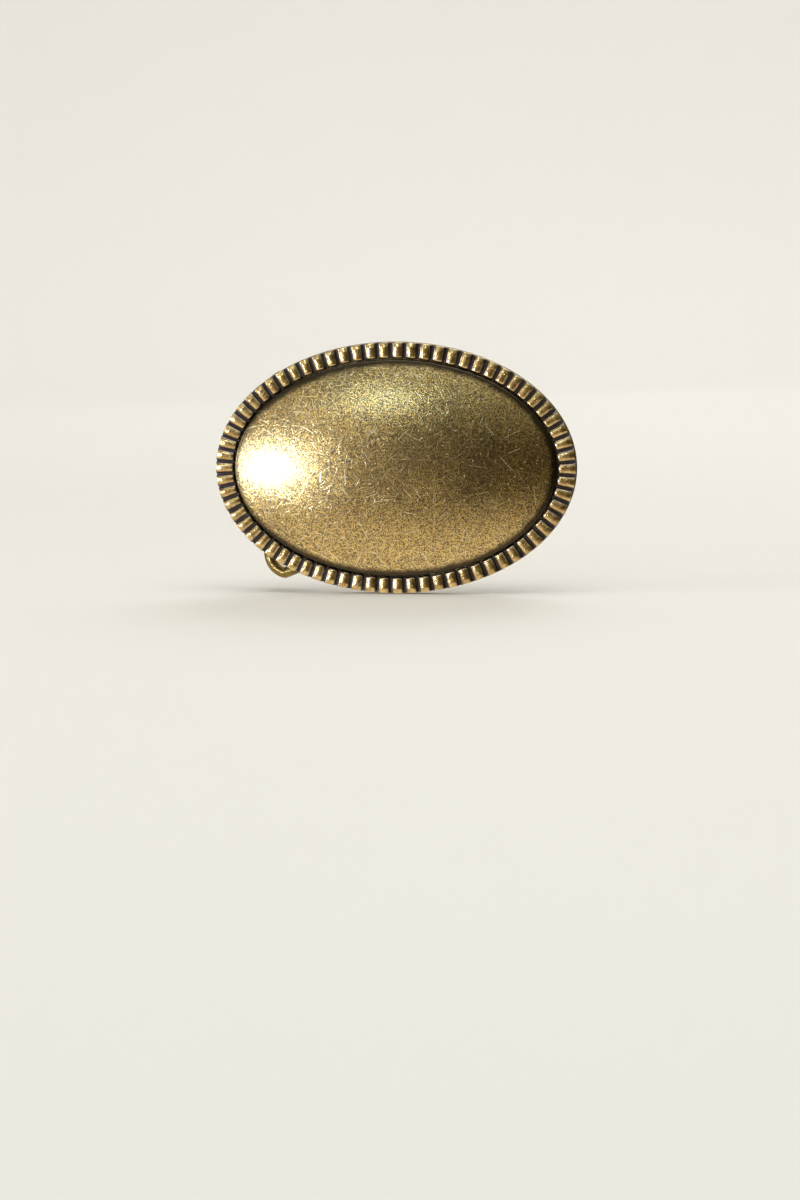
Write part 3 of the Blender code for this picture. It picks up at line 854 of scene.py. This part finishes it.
def make_light(name, azimuth, elevation, distance, size, power, colour, target=(0, 0, 0)):
    data = bpy.data.lights.new(name, "AREA")
    data.shape = "ELLIPSE"
    data.size, data.size_y = size
    data.energy = power
    data.color = colour
    light = bpy.data.objects.new(name, data)
    bpy.context.scene.collection.objects.link(light)
    light.location = polar(azimuth, elevation, distance)
    aim(light, target)


def make_stage():
    """A pale floor that curves up into a backdrop."""
    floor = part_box("back_plate")[0].z
    bend = [(BACKDROP_START + BACKDROP_BEND * sin(a), BACKDROP_BEND - BACKDROP_BEND * cos(a))
            for a in np.linspace(0.1, pi / 2, 16)]
    profile = [(STAGE_FRONT, 0.0), (BACKDROP_START, 0.0)] + bend
    profile.append((BACKDROP_START + BACKDROP_BEND, BACKDROP_TOP))
    points = [(x, y, floor + z) for y, z in profile for x in (-STAGE_HALF, STAGE_HALF)]
    faces = [(2 * i, 2 * i + 1, 2 * i + 3, 2 * i + 2) for i in range(len(profile) - 1)]
    mesh = bpy.data.meshes.new("floor")
    mesh.from_pydata(points, [], faces)
    mesh.shade_smooth()
    stage = bpy.data.objects.new("floor", mesh)
    bpy.context.scene.collection.objects.link(stage)
    n = Nodes("stage")
    tone = n.mix(n.noise(3, 3), (0.81, 0.81, 0.845, 1), (0.84, 0.842, 0.88, 1))
    mesh.materials.append(n.finish(tone, 0.75, metallic=0.0))
    stage.visible_glossy = False  # the metal sees the studio's own glow below it instead
    stage.visible_shadow = False
    make_surround(floor)


def make_surround(floor):
    """A pale wall all round, which only the camera sees, for views from the sides and from behind."""
    mesh = bpy.data.meshes.new("surround")
    count, radius, low, high = 96, 2.4, -1.0, 3.0
    points = [(radius * cos(tau * i / count), radius * sin(tau * i / count), floor + z)
              for z in (low, high) for i in range(count)]
    mesh.from_pydata(points, [], [face[::-1] for face in grid_faces(2, count)])
    mesh.shade_smooth()
    wall = bpy.data.objects.new("surround", mesh)
    bpy.context.scene.collection.objects.link(wall)
    n = Nodes("surround")
    tone = n.mix(n.noise(3, 3), (0.84, 0.82, 0.76, 1), (0.88, 0.86, 0.80, 1))
    n.put(n.shader.inputs["Emission Color"], tone)
    n.shader.inputs["Emission Strength"].default_value = 1.0
    mesh.materials.append(n.finish((0, 0, 0, 1), 1.0, metallic=0.0))
    wall.visible_diffuse = wall.visible_glossy = wall.visible_shadow = wall.visible_transmission = False


def make_world():
    """A dim studio: a pale glow from the floor, less from above, and more to the left than to the right."""
    world = bpy.data.worlds.new("studio")
    bpy.context.scene.world = world
    world.use_nodes = True
    tree = world.node_tree
    background = tree.nodes["Background"]
    place = tree.nodes.new("ShaderNodeTexCoord").outputs["Generated"]
    split = tree.nodes.new("ShaderNodeSeparateXYZ")
    tree.links.new(place, split.inputs[0])

    def blend(value, low, high, under, over):
        """The colour under where value is below low, over where it is above high."""
        ramp = tree.nodes.new("ShaderNodeMapRange")
        ramp.interpolation_type = "SMOOTHSTEP"
        tree.links.new(value, ramp.inputs["Value"])
        ramp.inputs["From Min"].default_value, ramp.inputs["From Max"].default_value = low, high
        mix = tree.nodes.new("ShaderNodeMix")
        mix.data_type = "RGBA"
        tree.links.new(ramp.outputs[0], mix.inputs[0])
        for socket, colour in ((mix.inputs[6], under), (mix.inputs[7], over)):
            if isinstance(colour, bpy.types.NodeSocket):
                tree.links.new(colour, socket)
            else:
                socket.default_value = (*colour, 1)
        return mix.outputs[2]

    sides = blend(split.outputs["X"], -0.55, 0.22, LEFT_GLOW, RIGHT_DARK)
    above = blend(split.outputs["Z"], 0.10, 0.60, sides, CEILING_GLOW)
    below = blend(split.outputs["Z"], -0.60, -0.18, FLOOR_GLOW, above)
    tree.links.new(below, background.inputs["Color"])
    background.inputs["Strength"].default_value = 1.0


make_camera()
make_world()
make_stage()
for light_name, light_values in LIGHTS.items():
    make_light(light_name, *light_values)
bpy.context.scene.view_settings.view_transform = "Standard"

make_dome()
make_border()

PLATE_BRASS = aged_brass("plate_brass", (0.42, 0.31, 0.14, 1), (0.10, 0.085, 0.065, 1), roughness=0.42,
                         rubbed_noise=110, grain_scale=620, grain_depth=0.12 * MM)
FITTING_BRASS = aged_brass("fitting_brass", (0.47, 0.37, 0.19, 1), (0.12, 0.095, 0.065, 1), roughness=0.34,
                           rubbed_noise=160, grain_scale=900, grain_depth=0.06 * MM)
# painted shade: the wire's colours are darker than the other fittings' to stand for the shade the bail hangs
# in; the hook's peg uses them too
WIRE_BRASS_PAINTED_SHADE = aged_brass("wire_brass", (0.32, 0.235, 0.09, 1), (0.06, 0.045, 0.022, 1), roughness=0.27,
                        rubbed_noise=260, grain_scale=1200, grain_depth=0.03 * MM)
SOLDER = aged_brass("solder", (0.37, 0.31, 0.20, 1), (0.11, 0.09, 0.065, 1), roughness=0.36,
                    rubbed_noise=300, grain_scale=1500, grain_depth=0.06 * MM)
make_plate()
make_hinge()
make_bail()
make_hook()
